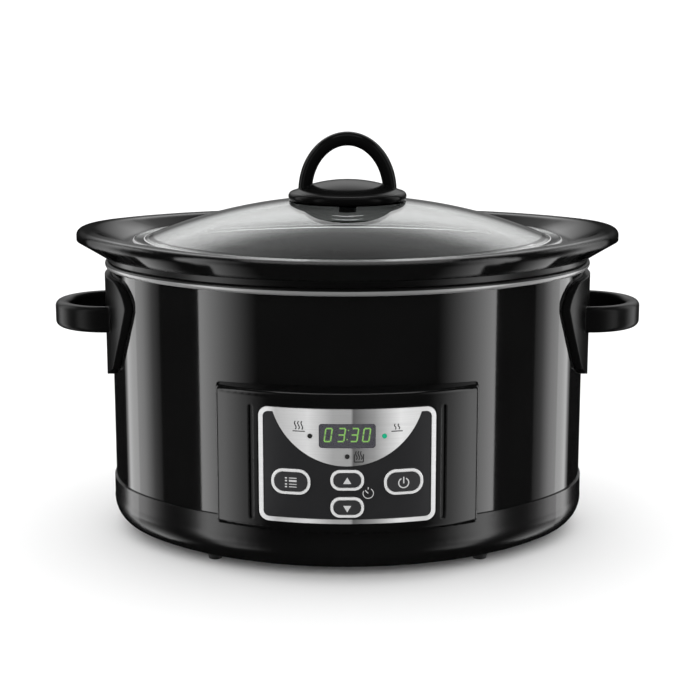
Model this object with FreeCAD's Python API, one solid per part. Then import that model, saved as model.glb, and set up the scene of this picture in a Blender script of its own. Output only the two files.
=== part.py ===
"""Oval slow cooker: a glazed pot with a glass lid in a heated housing with a timer panel.

Millimetres, +Z up, +X towards the right handle, -Y towards the control panel.
The origin is on the table, under the middle of the four feet.
Every oval outline is a four-arc oval of one family: outlines are parallel, and each
is named by its offset from the outside of the steel wall (negative is inwards).
"""
import FreeCAD
import Part

import math
import os

V = FreeCAD.Vector
UP = V(0, 0, 1)

# Oval family, given by the outside of the steel wall
WALL_HALF_LENGTH = 159.5
WALL_HALF_WIDTH = 128.0
WALL_END_RADIUS = 100.0

# Heights above the table
FOOT_HEIGHT = 5.0
SEAM_HEIGHT = 36.9
RING_TOP = 189.7
RIM_CREST_RISE = 12.3

# Base tray
BASE_WALL = 2.5
BASE_PROUD = 1.2
BAND_HEIGHT = 11.9
BASE_TUCK = 11.2
FOOT_X = 86.0
FOOT_Y = 84.0
FOOT_RADIUS = 5.5
FOOT_TAPER = 1.2
FOOT_PEG_RADIUS = 2.5
VENT_COUNT = 9
VENT_WIDTH = 3.0
VENT_LENGTH = 34.0
VENT_PITCH = 8.0

# Steel wall, rolled top ring and heating well
STEEL = 1.0
RING_RADIUS = 2.6
RING_STANDOFF = 0.4
BEAD_DROP = 6.7
WELL_GAP = 9.0
WELL_FLOOR = 49.0
WELL_CORNER = 14.0
FLANGE_WIDTH = 6.0

# Heating band, sensors and fixings under the well
HEATER_THICKNESS = 2.0
HEATER_BOTTOM = 68.0
HEATER_HEIGHT = 46.0
HEATER_SPLIT = 14.0
POST_X = 62.0
POST_Y = 40.0
POST_RADIUS = 6.0
POST_SCREW_RADIUS = 2.0
BOSS_HEIGHT = 6.0
SENSOR_RADIUS = 5.0
CUTOUT_RADIUS = 8.0
SENSOR_HEIGHT = 7.0
SENSOR_SPREAD = 20.0

# Pot
POT_CLEARANCE = 2.5
POT_WALL = 7.0
POT_DRAFT = 6.0
POT_FLOOR_BOTTOM = 56.0
POT_FLOOR = 8.0
POT_CORNER = 20.0
POT_SEAT_GAP = 0.4
RIM_BOTTOM_REACH = 6.4
RIM_REACH = 8.0
RIM_LIP = 10.0
RIM_EDGE = 7.0
RIM_ROUND = 3.6
WING_REACH = 14.8
WING_END_RADIUS = 88.0
WING_RISE = 3.7
LID_SEAT_DEPTH = 7.5

# Lid
LID_INSET = 14.7
LID_SEAT_GAP = 0.3
LID_SIDE_GAP = 1.5
GLASS = 4.0
LID_RIM_HEIGHT = 4.6
DOME_RISE = 31.2
DOME_EDGE_LIFT = 0.7
LID_PAD_SHARE = 0.275
DOME_EDGE_SHARE = 0.965
KNOB_SCREW_RADIUS = 3.0

# Lid knob
KNOB_RADIUS = 39.8
KNOB_EDGE = 6.0
KNOB_MOUND = 7.7
ARCH_HALF_SPAN = 28.4
ARCH_HEIGHT = 35.1
ARCH_THICK = 9.4
ARCH_DEPTH = 13.0

# Side handles
HANDLE_TOP = 156.6
HANDLE_HEIGHT = 17.4
HANDLE_REACH = 39.0
HANDLE_BAR = 9.2
HANDLE_HALF_WIDTH = 37.0
PLATE_THICK = 4.4
PLATE_DROP = 4.4
PLATE_BOTTOM = 105.9
PLATE_HALF_WIDTH = 61.5
PLATE_TOP_HALF = 42.0
PLATE_BOTTOM_HALF = 41.0
PLATE_BOTTOM_CURVE = 10.6
PLATE_WAIST_RISE = 2.9
HANDLE_SCREW_RADIUS = 2.0
HANDLE_SCREW_INSET = 7.0

# Control panel
PANEL_HALF_WIDTH = 81.8
PANEL_BOTTOM = 32.7
PANEL_TOP = 125.4
PANEL_PROUD = 11.0
PANEL_RADIUS = 155.0
PANEL_WALL = 3.0
PANEL_EDGE = 4.0
PANEL_TOP_FALL = 2.9
FASCIA_HALF_WIDTH = 54.6
FASCIA_BOTTOM = 40.0
FASCIA_TOP = 112.5
FASCIA_CORNER = 6.0
FASCIA_THICK = 2.0
FRAME_WIDTH = 2.7
FRAME_PROUD = 0.4
CRESCENT_HALF_CHORD = 45.6
CRESCENT_DEPTH = 33.1
SLOT_X = 59.5
SLOT_WIDTH = 2.8
SLOT_DEPTH = 1.6
WINDOW_WIDTH = 34.8
WINDOW_HEIGHT = 15.3
WINDOW_Z = 95.75
LED_RADIUS = 1.5
LED_X = 22.8
LED_Z = 95.5
LED_LOW_Z = 82.9
BUTTON_TRAVEL = 0.8
BUTTON_GAP = 0.3
BUTTON_PROUD = 1.2
BEZEL_WIDTH = 1.8
BEZEL_PROUD = 0.7
WIDE_BUTTON = (24.2, 16.0)
NARROW_BUTTON = (20.6, 12.9)
BUTTONS = {
    "select_button": (-34.7, 66.0, WIDE_BUTTON),
    "up_button": (0.0, 67.9, NARROW_BUTTON),
    "down_button": (0.0, 50.6, NARROW_BUTTON),
    "power_button": (34.7, 66.0, WIDE_BUTTON),
}
STEM_RADIUS = 2.2

# Boards and gland
BOARD = 1.6
BOARD_HALF_WIDTH = 49.0
BOARD_FRONT_INSET = 5.5
BOARD_MARGIN = 6.0
SWITCH_SIDE = 6.0
SWITCH_HEIGHT = 3.5
POWER_BOARD_LENGTH = 96.0
POWER_BOARD_WIDTH = 56.0
POWER_BOARD_LIFT = 6.0
POWER_BOARD_INSET = 63.0
RELAY_SIZE = (19.0, 15.5, 15.0)
TRANSFORMER_SIZE = (34.0, 28.0, 24.0)
GLAND_RADIUS = 3.8
GLAND_BORE = 2.6
GLAND_FLANGE = 4.8
GLAND_COLLAR = 2.5
GLAND_DEPTH = 7.0

# Small fits and reaches past a face when cutting
FIT = 0.05
SEAT = 0.2
PAST = 20.0

# Values that follow from the sizes above
END_CENTRE = WALL_HALF_LENGTH - WALL_END_RADIUS
RING_CENTRE = RING_TOP - BEAD_DROP
RING_SKIRT = RING_STANDOFF + STEEL
RING_LAND = RING_TOP - STEEL
PLATE_TOP = RING_CENTRE - RING_RADIUS - PLATE_DROP
WELL_INSIDE = -WELL_GAP - STEEL
POT_OUTSIDE = WELL_INSIDE - POT_CLEARANCE
RIM_UNDER = RING_TOP + POT_SEAT_GAP
RIM_CREST = RING_TOP + RIM_CREST_RISE
LID_SEAT = RIM_CREST - LID_SEAT_DEPTH
LID_BOTTOM = LID_SEAT + LID_SEAT_GAP
LID_HALF_LENGTH = WALL_HALF_LENGTH - LID_INSET
LID_APEX = LID_BOTTOM + DOME_RISE
DOME_FALL = DOME_RISE - DOME_EDGE_LIFT
DOME_RADIUS = (LID_HALF_LENGTH**2 + DOME_FALL**2) / (2 * DOME_FALL)
BASE_FLOOR = FOOT_HEIGHT + BASE_WALL
PANEL_CENTRE_Y = -WALL_HALF_WIDTH - PANEL_PROUD + PANEL_RADIUS
FASCIA_BACK = PANEL_RADIUS - FASCIA_THICK
PANEL_INSIDE = FASCIA_BACK - PANEL_WALL
BOARD_BACK_Y = -WALL_HALF_WIDTH + BOARD_FRONT_INSET
BOARD_FRONT_Y = BOARD_BACK_Y - BOARD
SWITCH_FRONT_Y = BOARD_FRONT_Y - SWITCH_HEIGHT
POWER_BOARD_Y = WALL_HALF_WIDTH - POWER_BOARD_INSET
FRONT_REACH = WALL_HALF_WIDTH + PANEL_PROUD + BUTTON_PROUD


# Drawing helpers

def polar(radius, degrees):
    angle = math.radians(degrees)
    return V(radius * math.cos(angle), radius * math.sin(angle), 0)


def arc_edge(centre, radius, start, end):
    """A level arc about a point, from one angle to another in degrees."""
    ends = [centre + polar(radius, a) for a in (start, (start + end) / 2, end)]
    return Part.Arc(*ends).toShape()


def line_edge(a, b):
    return Part.LineSegment(a, b).toShape()


def outline(points):
    """A closed wire in the XZ plane. A point is (x, z), and a triple ((x, z), 'by', (x, z)) is an arc
    that passes its first point and ends at its last."""
    edges = []
    last = None
    for item in points + [points[0]]:
        if len(item) == 3:
            middle, end = item[0], item[2]
            edges.append(Part.Arc(V(last[0], 0, last[1]), V(middle[0], 0, middle[1]),
                                  V(end[0], 0, end[1])).toShape())
            last = end
            continue
        if last is not None and math.dist(last, item) > 1e-7:
            edges.append(line_edge(V(last[0], 0, last[1]), V(item[0], 0, item[1])))
        last = item
    return Part.Wire(edges)


def round_arc(centre, radius, start, end):
    """The arc item of an outline: about a centre, from one angle to another in degrees."""
    middle = math.radians((start + end) / 2)
    last = math.radians(end)
    return (
        (centre[0] + radius * math.cos(middle), centre[1] + radius * math.sin(middle)),
        "by",
        (centre[0] + radius * math.cos(last), centre[1] + radius * math.sin(last)),
    )


def fused(shapes):
    """One solid from touching or overlapping ones, with its split faces joined."""
    first, *others = shapes
    return first.multiFuse(others).removeSplitter() if others else first


def cylinder(radius, length, place, along=UP):
    return Part.makeCylinder(radius, length, place, along)


def box(low, high):
    size = V(*high) - V(*low)
    return Part.makeBox(size.x, size.y, size.z, V(*low))


# Oval helpers

def four_arcs(half_length, half_width, end_radius):
    """Centre, radius, start and end angle of the four arcs of an oval: right, back, left, front."""
    end_centre = half_length - end_radius
    side_centre = (
        (half_length - half_width)
        * (half_length + half_width - 2 * end_radius)
        / (2 * (half_width - end_radius))
    )
    side_radius = half_width + side_centre
    blend = math.degrees(math.atan2(side_centre, end_centre))
    return [
        (V(end_centre, 0, 0), end_radius, -blend, blend),
        (V(0, -side_centre, 0), side_radius, blend, 180 - blend),
        (V(-end_centre, 0, 0), end_radius, 180 - blend, 180 + blend),
        (V(0, side_centre, 0), side_radius, 180 + blend, 360 - blend),
    ]


def arcs_wire(arcs, height):
    lift = V(0, 0, height)
    return Part.Wire([arc_edge(c + lift, r, a, b) for c, r, a, b in arcs])


def oval_arcs(offset):
    """The arcs of one outline of the family. Parallel outlines share their centres."""
    return four_arcs(WALL_HALF_LENGTH + offset, WALL_HALF_WIDTH + offset, WALL_END_RADIUS + offset)


def oval_wire(offset, height):
    return arcs_wire(oval_arcs(offset), height)


def oval_block(offset, bottom, top):
    return Part.Face(oval_wire(offset, bottom)).extrude(V(0, 0, top - bottom))


def turned(section, centre, radius, start, end):
    """A section, drawn with x as distance from the path, turned about one arc of the path."""
    face = section.copy()
    face.translate(V(radius, 0, 0))
    face.rotate(V(0, 0, 0), UP, start)
    piece = face.revolve(V(0, 0, 0), UP, end - start)
    piece.translate(centre)
    return piece


def oval_ring(points):
    """A closed profile of (offset, height) points carried round the oval."""
    section = Part.Face(outline(points))
    return fused([turned(section, *arc) for arc in oval_arcs(0)])


# Steel housing

def rim_ring():
    """Steel ring that caps the wall and the well, carries the pot, and ends in a bead outside the wall."""
    return oval_ring([
        (-WELL_GAP, RING_LAND),
        (-WELL_GAP, RING_TOP),
        (RING_SKIRT, RING_TOP),
        (RING_SKIRT, RING_CENTRE + RING_RADIUS),
        round_arc((RING_SKIRT, RING_CENTRE), RING_RADIUS, 90, -90),
        (RING_STANDOFF, RING_CENTRE - RING_RADIUS),
        (RING_STANDOFF, RING_LAND),
    ])


def handle_screw_places():
    """Height of the two screws of each handle."""
    return (PLATE_BOTTOM + HANDLE_SCREW_INSET, PLATE_TOP - HANDLE_SCREW_INSET)


def outer_shell():
    """Painted steel wrap, with the window behind the control panel and the handle screw holes."""
    shell = oval_ring([(-STEEL, SEAM_HEIGHT), (0, SEAM_HEIGHT), (0, RING_LAND), (-STEEL, RING_LAND)])
    window = box((-SLOT_X + SLOT_WIDTH, -WALL_HALF_WIDTH - PAST, FASCIA_BOTTOM + FRAME_WIDTH),
                 (SLOT_X - SLOT_WIDTH, -END_CENTRE, FASCIA_TOP - FRAME_WIDTH))
    cuts = [window]
    for height in handle_screw_places():
        cuts.append(cylinder(HANDLE_SCREW_RADIUS + SEAT, 4 * WALL_HALF_LENGTH,
                             V(-2 * WALL_HALF_LENGTH, 0, height), V(1, 0, 0)))
    return shell.cut(cuts)


def heating_well():
    """Bare metal pan that the heating band warms, with weld bosses under its floor."""
    inner = WELL_INSIDE
    outer = -WELL_GAP
    core = inner - WELL_CORNER
    flange_top = RING_LAND
    bottom = WELL_FLOOR
    corner = (core, bottom + STEEL + WELL_CORNER)
    pan = oval_ring([
        (core - PAST, bottom),
        (core, bottom),
        round_arc(corner, WELL_CORNER + STEEL, -90, 0),
        (outer, flange_top - STEEL),
        (outer + FLANGE_WIDTH, flange_top - STEEL),
        (outer + FLANGE_WIDTH, flange_top),
        (inner, flange_top),
        (inner, corner[1]),
        round_arc(corner, WELL_CORNER, 0, -90),
        (core - PAST, bottom + STEEL),
    ])
    floor = oval_block(core - PAST, bottom, bottom + STEEL)
    bosses = [cylinder(POST_RADIUS, BOSS_HEIGHT, V(x, y, bottom - BOSS_HEIGHT)) for x, y in post_places()]
    holes = [cylinder(POST_SCREW_RADIUS + FIT, BOSS_HEIGHT, V(x, y, bottom - BOSS_HEIGHT))
             for x, y in post_places()]
    return fused([pan, floor, *bosses]).cut(holes)


def heater_band():
    """Flat heating element wrapped round the well, split at the back for its terminals."""
    inner = -WELL_GAP
    outer = inner + HEATER_THICKNESS
    top = HEATER_BOTTOM + HEATER_HEIGHT
    band = oval_ring([(inner, HEATER_BOTTOM), (outer, HEATER_BOTTOM), (outer, top), (inner, top)])
    split = box((-HEATER_SPLIT / 2, 0, HEATER_BOTTOM - 1), (HEATER_SPLIT / 2, WALL_HALF_WIDTH, top + 1))
    return band.cut(split)


def temperature_sensor():
    place = V(-SENSOR_SPREAD, 0, WELL_FLOOR - SENSOR_HEIGHT)
    return cylinder(SENSOR_RADIUS, SENSOR_HEIGHT, place)


def thermal_cutout():
    place = V(SENSOR_SPREAD, 0, WELL_FLOOR - SENSOR_HEIGHT)
    terminals = [
        box((SENSOR_SPREAD + s * CUTOUT_RADIUS / 2 - 0.4, -2, WELL_FLOOR - SENSOR_HEIGHT - 6),
            (SENSOR_SPREAD + s * CUTOUT_RADIUS / 2 + 0.4, 2, WELL_FLOOR - SENSOR_HEIGHT))
        for s in (-1, 1)
    ]
    return fused([cylinder(CUTOUT_RADIUS, SENSOR_HEIGHT, place), *terminals])


# Base

def post_places():
    return [(sx * POST_X, sy * POST_Y) for sx in (-1, 1) for sy in (-1, 1)]


def foot_places():
    return [(sx * FOOT_X, sy * FOOT_Y) for sx in (-1, 1) for sy in (-1, 1)]


def gland_place():
    """Middle of the cord gland, on the outside of the band at the back."""
    return V(0, WALL_HALF_WIDTH + BASE_PROUD, SEAM_HEIGHT - BAND_HEIGHT / 2)


def base_tray():
    """Moulded base: an upright band, a hull that tucks under, vents and screw posts."""
    band_bottom = SEAM_HEIGHT - BAND_HEIGHT
    under = FOOT_HEIGHT
    wall = BASE_WALL
    tuck = BASE_PROUD - BASE_TUCK
    core = tuck - PAST
    inside = BASE_PROUD - wall
    belly = (BASE_PROUD - BASE_TUCK * 0.22, under + (band_bottom - under) * 0.38)
    inner_belly = (belly[0] - wall * 0.9, belly[1] + wall * 0.5)
    ring = oval_ring([
        (core, under + wall),
        (core, under),
        (tuck, under),
        (belly, "by", (BASE_PROUD, band_bottom)),
        (BASE_PROUD, SEAM_HEIGHT),
        (inside - STEEL, SEAM_HEIGHT),
        (inside - STEEL, SEAM_HEIGHT - wall),
        (inside, SEAM_HEIGHT - 2 * wall),
        (inside, band_bottom),
        (inner_belly, "by", (tuck - wall * 0.3, under + wall)),
    ])
    floor = oval_block(core, under, under + wall)
    post_top = WELL_FLOOR - BOSS_HEIGHT
    posts = [cylinder(POST_RADIUS, post_top - under, V(x, y, under)) for x, y in post_places()]
    board_posts = [cylinder(POST_RADIUS / 2, POWER_BOARD_LIFT, V(x, y, BASE_FLOOR))
                   for x, y in power_board_corners()]
    cuts = [cylinder(POST_SCREW_RADIUS + SEAT, post_top, V(x, y, 0)) for x, y in post_places()]
    cuts += [cylinder(POST_SCREW_RADIUS * 2 + SEAT, post_top / 2, V(x, y, 0)) for x, y in post_places()]
    cuts += [cylinder(FOOT_PEG_RADIUS + FIT, BASE_FLOOR, V(x, y, 0)) for x, y in foot_places()]
    cuts += vents()
    gland = gland_place()
    cuts.append(cylinder(GLAND_RADIUS + FIT, PAST, gland - V(0, PAST / 2, 0), V(0, 1, 0)))
    return fused([ring, floor, *posts, *board_posts]).cut(cuts)


def vents():
    """Round-ended slots through the floor, in a row along the middle."""
    slots = []
    radius = VENT_WIDTH / 2
    half = VENT_LENGTH / 2 - radius
    for i in range(VENT_COUNT):
        x = (i - (VENT_COUNT - 1) / 2) * VENT_PITCH
        slots.append(fused([
            box((x - radius, -half, 0), (x + radius, half, BASE_FLOOR + 1)),
            cylinder(radius, BASE_FLOOR + 1, V(x, -half, 0)),
            cylinder(radius, BASE_FLOOR + 1, V(x, half, 0)),
        ]))
    return slots


def rubber_feet():
    feet = []
    for x, y in foot_places():
        pad = Part.makeCone(FOOT_RADIUS - FOOT_TAPER, FOOT_RADIUS, FOOT_HEIGHT, V(x, y, 0))
        peg = cylinder(FOOT_PEG_RADIUS, BASE_FLOOR, V(x, y, 0))
        feet.append(fused([pad, peg]))
    return Part.makeCompound(feet)


def base_screws():
    """Screws up the tray's posts into the well's bosses."""
    screws = []
    head_top = (WELL_FLOOR - BOSS_HEIGHT) / 2
    head_height = POST_SCREW_RADIUS * 1.5
    tip = WELL_FLOOR - STEEL
    for x, y in post_places():
        head = cylinder(POST_SCREW_RADIUS * 2, head_height, V(x, y, head_top - head_height))
        shank = cylinder(POST_SCREW_RADIUS, tip - head_top, V(x, y, head_top))
        screws.append(fused([head, shank]))
    return Part.makeCompound(screws)


def cord_gland():
    """Strain sleeve in the back of the band, with a blind end. It reaches as far as the panel does."""
    middle = gland_place()
    back = V(0, 1, 0)
    inside = BASE_WALL + SEAT
    collar = cylinder(GLAND_FLANGE, GLAND_COLLAR * 2, middle - V(0, GLAND_COLLAR, 0), back)
    collar = collar.cut(oval_block(BASE_PROUD, 0, SEAM_HEIGHT + PAST))
    sleeve = cylinder(GLAND_RADIUS, inside + FRONT_REACH - middle.y, middle - V(0, inside, 0), back)
    bore = cylinder(GLAND_BORE, GLAND_DEPTH, V(middle.x, FRONT_REACH, middle.z), -back)
    return fused([collar, sleeve]).cut(bore)


# Power electronics

def power_board_corners():
    x = POWER_BOARD_LENGTH / 2 - POST_RADIUS
    y = POWER_BOARD_WIDTH / 2 - POST_RADIUS
    return [(sx * x, POWER_BOARD_Y + sy * y) for sx in (-1, 1) for sy in (-1, 1)]


def on_power_board(size, x, y):
    """A block that stands on the power board, by its size and middle."""
    base = BASE_FLOOR + POWER_BOARD_LIFT + BOARD
    return box((x - size[0] / 2, y - size[1] / 2, base), (x + size[0] / 2, y + size[1] / 2, base + size[2]))


def power_board():
    low = BASE_FLOOR + POWER_BOARD_LIFT
    return box((-POWER_BOARD_LENGTH / 2, POWER_BOARD_Y - POWER_BOARD_WIDTH / 2, low),
               (POWER_BOARD_LENGTH / 2, POWER_BOARD_Y + POWER_BOARD_WIDTH / 2, low + BOARD))


def relay():
    return on_power_board(RELAY_SIZE, -RELAY_SIZE[0], POWER_BOARD_Y)


def transformer():
    """Laminated core with its winding standing proud of two sides."""
    x = TRANSFORMER_SIZE[0] / 2
    core = on_power_board(TRANSFORMER_SIZE, x, POWER_BOARD_Y)
    winding_size = (TRANSFORMER_SIZE[0] * 0.6, TRANSFORMER_SIZE[1] + 8, TRANSFORMER_SIZE[2] * 0.6)
    winding = on_power_board(winding_size, x, POWER_BOARD_Y)
    winding.translate(V(0, 0, TRANSFORMER_SIZE[2] * 0.2))
    return fused([core, winding])


# Side handles

def handle_plate():
    """Leaf-shaped plate on the right end, fitted to the wall."""
    sheet = oval_ring([(SEAT, PLATE_BOTTOM), (PLATE_THICK, PLATE_BOTTOM), (PLATE_THICK, PLATE_TOP),
                       (SEAT, PLATE_TOP)])
    waist = HANDLE_TOP + PLATE_WAIST_RISE
    corner = PLATE_BOTTOM + PLATE_BOTTOM_CURVE
    upper = (PLATE_HALF_WIDTH - (PLATE_HALF_WIDTH - PLATE_TOP_HALF) * 0.25, (waist + 1.6 * PLATE_TOP) / 2.6)
    lower = (PLATE_HALF_WIDTH - (PLATE_HALF_WIDTH - PLATE_BOTTOM_HALF) * 0.4, (waist + corner) / 2)
    leaf = Part.Face(outline([
        (-PLATE_TOP_HALF, PLATE_TOP),
        (PLATE_TOP_HALF, PLATE_TOP),
        (upper, "by", (PLATE_HALF_WIDTH, waist)),
        (lower, "by", (PLATE_BOTTOM_HALF, corner)),
        ((0, PLATE_BOTTOM), "by", (-PLATE_BOTTOM_HALF, corner)),
        ((-lower[0], lower[1]), "by", (-PLATE_HALF_WIDTH, waist)),
        ((-upper[0], upper[1]), "by", (-PLATE_TOP_HALF, PLATE_TOP)),
    ]))
    leaf.rotate(V(0, 0, 0), UP, 90)
    return sheet.common(leaf.extrude(V(2 * WALL_HALF_LENGTH, 0, 0)))


def handle_loop():
    """D-shaped grip: a flat bar bent round, with rounded edges, cut to the wall."""
    reach = WALL_HALF_LENGTH + HANDLE_REACH
    start = END_CENTRE
    bottom = HANDLE_TOP - HANDLE_HEIGHT

    def d_shape(inset):
        half = HANDLE_HALF_WIDTH - inset
        turn = reach - HANDLE_HALF_WIDTH
        low = V(start, -half, bottom)
        high = V(start, half, bottom)
        turn_low = V(turn, -half, bottom)
        turn_high = V(turn, half, bottom)
        return Part.Wire([
            line_edge(low, turn_low),
            Part.Arc(turn_low, V(turn + half, 0, bottom), turn_high).toShape(),
            line_edge(turn_high, high),
            line_edge(high, low),
        ])

    grip = Part.Face(d_shape(0)).extrude(V(0, 0, HANDLE_HEIGHT))
    hole = Part.Face(d_shape(HANDLE_BAR)).extrude(V(0, 0, HANDLE_HEIGHT))
    loop = grip.cut(hole)
    level = [e for e in loop.Edges if abs(e.tangentAt(e.FirstParameter).z) < 0.01
             and e.BoundBox.XMax > start + 1]
    loop = loop.makeFillet(HANDLE_BAR * 0.42, level)
    return loop.cut(oval_block(SEAT, bottom - PAST, HANDLE_TOP + PAST))


def handle_right():
    holes = [cylinder(HANDLE_SCREW_RADIUS + FIT, PLATE_THICK * 0.7 + STEEL,
                      V(WALL_HALF_LENGTH - STEEL, 0, z), V(1, 0, 0)) for z in handle_screw_places()]
    return fused([handle_plate(), handle_loop()]).cut(holes)


def handle_left():
    handle = handle_right()
    handle.rotate(V(0, 0, 0), UP, 180)
    return handle


def handle_screws():
    """Two screws from inside the wall into each handle plate."""
    right = V(1, 0, 0)
    inside = WALL_HALF_LENGTH - STEEL - SEAT
    length = STEEL + SEAT + PLATE_THICK * 0.6
    screws = []
    for z in handle_screw_places():
        head = cylinder(HANDLE_SCREW_RADIUS * 2, HANDLE_SCREW_RADIUS, V(inside, 0, z), -right)
        shank = cylinder(HANDLE_SCREW_RADIUS, length, V(inside, 0, z), right)
        screw = fused([head, shank])
        other = screw.copy()
        other.rotate(V(0, 0, 0), UP, 180)
        screws += [screw, other]
    return Part.makeCompound(screws)


# Control panel

def panel_wedge(inner, outer, bottom, top, half_width):
    """A curved slab parallel to the panel's front, between two radii."""
    centre = V(0, PANEL_CENTRE_Y, bottom)

    def edge_points(radius):
        back = -math.sqrt(radius**2 - half_width**2)
        return (centre + V(-half_width, back, 0), centre + V(0, -radius, 0), centre + V(half_width, back, 0))

    front, behind = edge_points(outer), edge_points(inner)
    wire = Part.Wire([
        Part.Arc(*front).toShape(),
        line_edge(front[2], behind[2]),
        Part.Arc(*reversed(behind)).toShape(),
        line_edge(behind[0], front[0]),
    ])
    return Part.Face(wire).extrude(V(0, 0, top - bottom))


def front_prism(wire):
    """An outline drawn in XZ, pushed right through the front of the cooker."""
    face = Part.Face(wire)
    face.translate(V(0, -WALL_HALF_WIDTH - PANEL_PROUD - PAST, 0))
    return face.extrude(V(0, WALL_HALF_WIDTH, 0))


def round_rectangle(x, z, width, height, radius):
    """A round-cornered rectangle about (x, z)."""
    half_w, half_h = width / 2, height / 2
    points = []
    for sx, sz, start in ((1, 1, 0), (-1, 1, 90), (-1, -1, 180), (1, -1, 270)):
        centre = (x + sx * (half_w - radius), z + sz * (half_h - radius))
        angle = math.radians(start)
        points.append((centre[0] + radius * math.cos(angle), centre[1] + radius * math.sin(angle)))
        points.append(round_arc(centre, radius, start, start + 90))
    return outline(points)


def fascia_outline(inset):
    width = 2 * (FASCIA_HALF_WIDTH - inset)
    height = FASCIA_TOP - FASCIA_BOTTOM - 2 * inset
    return round_rectangle(0, (FASCIA_TOP + FASCIA_BOTTOM) / 2, width, height, FASCIA_CORNER - inset * 0.9)


def crescent():
    """The bright area round the display: a segment of a circle hung from the frame's top."""
    top = FASCIA_TOP - FRAME_WIDTH
    return outline([
        (-CRESCENT_HALF_CHORD, top + FRAME_WIDTH / 2),
        (-CRESCENT_HALF_CHORD, top),
        ((0, top - CRESCENT_DEPTH), "by", (CRESCENT_HALF_CHORD, top)),
        (CRESCENT_HALF_CHORD, top + FRAME_WIDTH / 2),
    ])


def button_outline(name, inset):
    x, z, (width, height) = BUTTONS[name]
    high = height - 2 * inset
    return round_rectangle(x, z, width - 2 * inset, high, high * 0.46)


def window_outline(inset):
    return round_rectangle(0, WINDOW_Z, WINDOW_WIDTH - 2 * inset, WINDOW_HEIGHT - 2 * inset, 2.0)


def led_places():
    return {"high": (-LED_X, LED_Z), "low": (LED_X, LED_Z), "warm": (0, LED_LOW_Z)}


def led_bore(place, gap):
    start = V(place[0], -WALL_HALF_WIDTH - PANEL_PROUD - PAST, place[1])
    return cylinder(LED_RADIUS + gap, PAST + PANEL_PROUD, start, V(0, 1, 0))


def control_housing():
    """Moulded panel that stands proud of the wall, hollow behind, with a seat for the fascia."""
    edge = PANEL_EDGE
    low = PANEL_BOTTOM + edge
    high = PANEL_TOP - PANEL_TOP_FALL - edge
    tilt = math.degrees(math.atan2(PANEL_TOP_FALL, PANEL_PROUD))
    section = Part.Face(outline([
        (-PAST * 2, PANEL_BOTTOM),
        (-edge, PANEL_BOTTOM),
        round_arc((-edge, low), edge, -90, 0),
        (0, high),
        round_arc((-edge, high), edge, 0, 90 - tilt),
        (-PANEL_PROUD - edge, PANEL_TOP),
        (-PAST * 2, PANEL_TOP),
    ]))
    block = turned(section, V(0, PANEL_CENTRE_Y, 0), PANEL_RADIUS, 200, 340)
    sides = box((-PANEL_HALF_WIDTH, -2 * PANEL_RADIUS, 0), (PANEL_HALF_WIDTH, 0, 2 * PANEL_TOP))
    block = block.common(sides)
    front_line = PANEL_CENTRE_Y - math.sqrt((PANEL_RADIUS - edge) ** 2 - PANEL_HALF_WIDTH**2)
    uprights = [e for e in block.Edges
                if abs(abs(e.CenterOfMass.x) - PANEL_HALF_WIDTH) < 0.01 and e.CenterOfMass.y < front_line
                and e.BoundBox.ZLength > PANEL_HALF_WIDTH / 2]
    block = block.makeFillet(edge * 0.6, uprights)
    hollow = panel_wedge(PANEL_RADIUS - PAST * 2, PANEL_INSIDE, PANEL_BOTTOM + PANEL_EDGE,
                         PANEL_TOP - PANEL_EDGE, PANEL_HALF_WIDTH - PANEL_EDGE)
    recess = panel_wedge(FASCIA_BACK, PANEL_RADIUS + PAST, PANEL_BOTTOM, PANEL_TOP, PANEL_HALF_WIDTH)
    cuts = [
        oval_block(SEAT, PANEL_BOTTOM - PAST, PANEL_TOP + PAST),
        oval_block(BASE_PROUD + SEAT, PANEL_BOTTOM - PAST, SEAM_HEIGHT + SEAT),
        hollow,
        recess.common(front_prism(fascia_outline(-SEAT))),
        front_prism(window_outline(0)),
    ]
    for side in (-1, 1):
        slot = front_prism(round_rectangle(side * SLOT_X, (FASCIA_TOP + FASCIA_BOTTOM) / 2, SLOT_WIDTH,
                                           FASCIA_TOP - FASCIA_BOTTOM, SLOT_WIDTH * 0.45))
        shallow = panel_wedge(PANEL_RADIUS - SLOT_DEPTH, PANEL_RADIUS + PAST, PANEL_BOTTOM, PANEL_TOP,
                              PANEL_HALF_WIDTH)
        cuts.append(slot.common(shallow))
    cuts += [front_prism(button_outline(name, BEZEL_WIDTH)) for name in BUTTONS]
    cuts += [led_bore(place, SEAT) for place in led_places().values()]
    return block.cut(cuts)


def fascia_frame():
    """Bright frame and crescent in one piece, with openings for the display and lamps."""
    slab = panel_wedge(FASCIA_BACK, PANEL_RADIUS + FRAME_PROUD, PANEL_BOTTOM, PANEL_TOP, PANEL_HALF_WIDTH)
    frame = front_prism(fascia_outline(0)).cut(front_prism(fascia_outline(FRAME_WIDTH)))
    plate = front_prism(crescent()).common(front_prism(fascia_outline(FRAME_WIDTH / 2)))
    shape = fused([frame, plate]).common(slab)
    cuts = [front_prism(window_outline(0))] + [led_bore(p, FIT) for p in led_places().values()]
    return shape.cut(cuts).removeSplitter()


def fascia_plate():
    """Dark plate inside the frame, with an opening for each button bezel."""
    slab = panel_wedge(FASCIA_BACK, PANEL_RADIUS - FRAME_PROUD, PANEL_BOTTOM, PANEL_TOP, PANEL_HALF_WIDTH)
    shape = slab.common(front_prism(fascia_outline(FRAME_WIDTH)))
    cuts = [front_prism(crescent())] + [front_prism(button_outline(name, 0)) for name in BUTTONS]
    return shape.cut(cuts)


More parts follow.
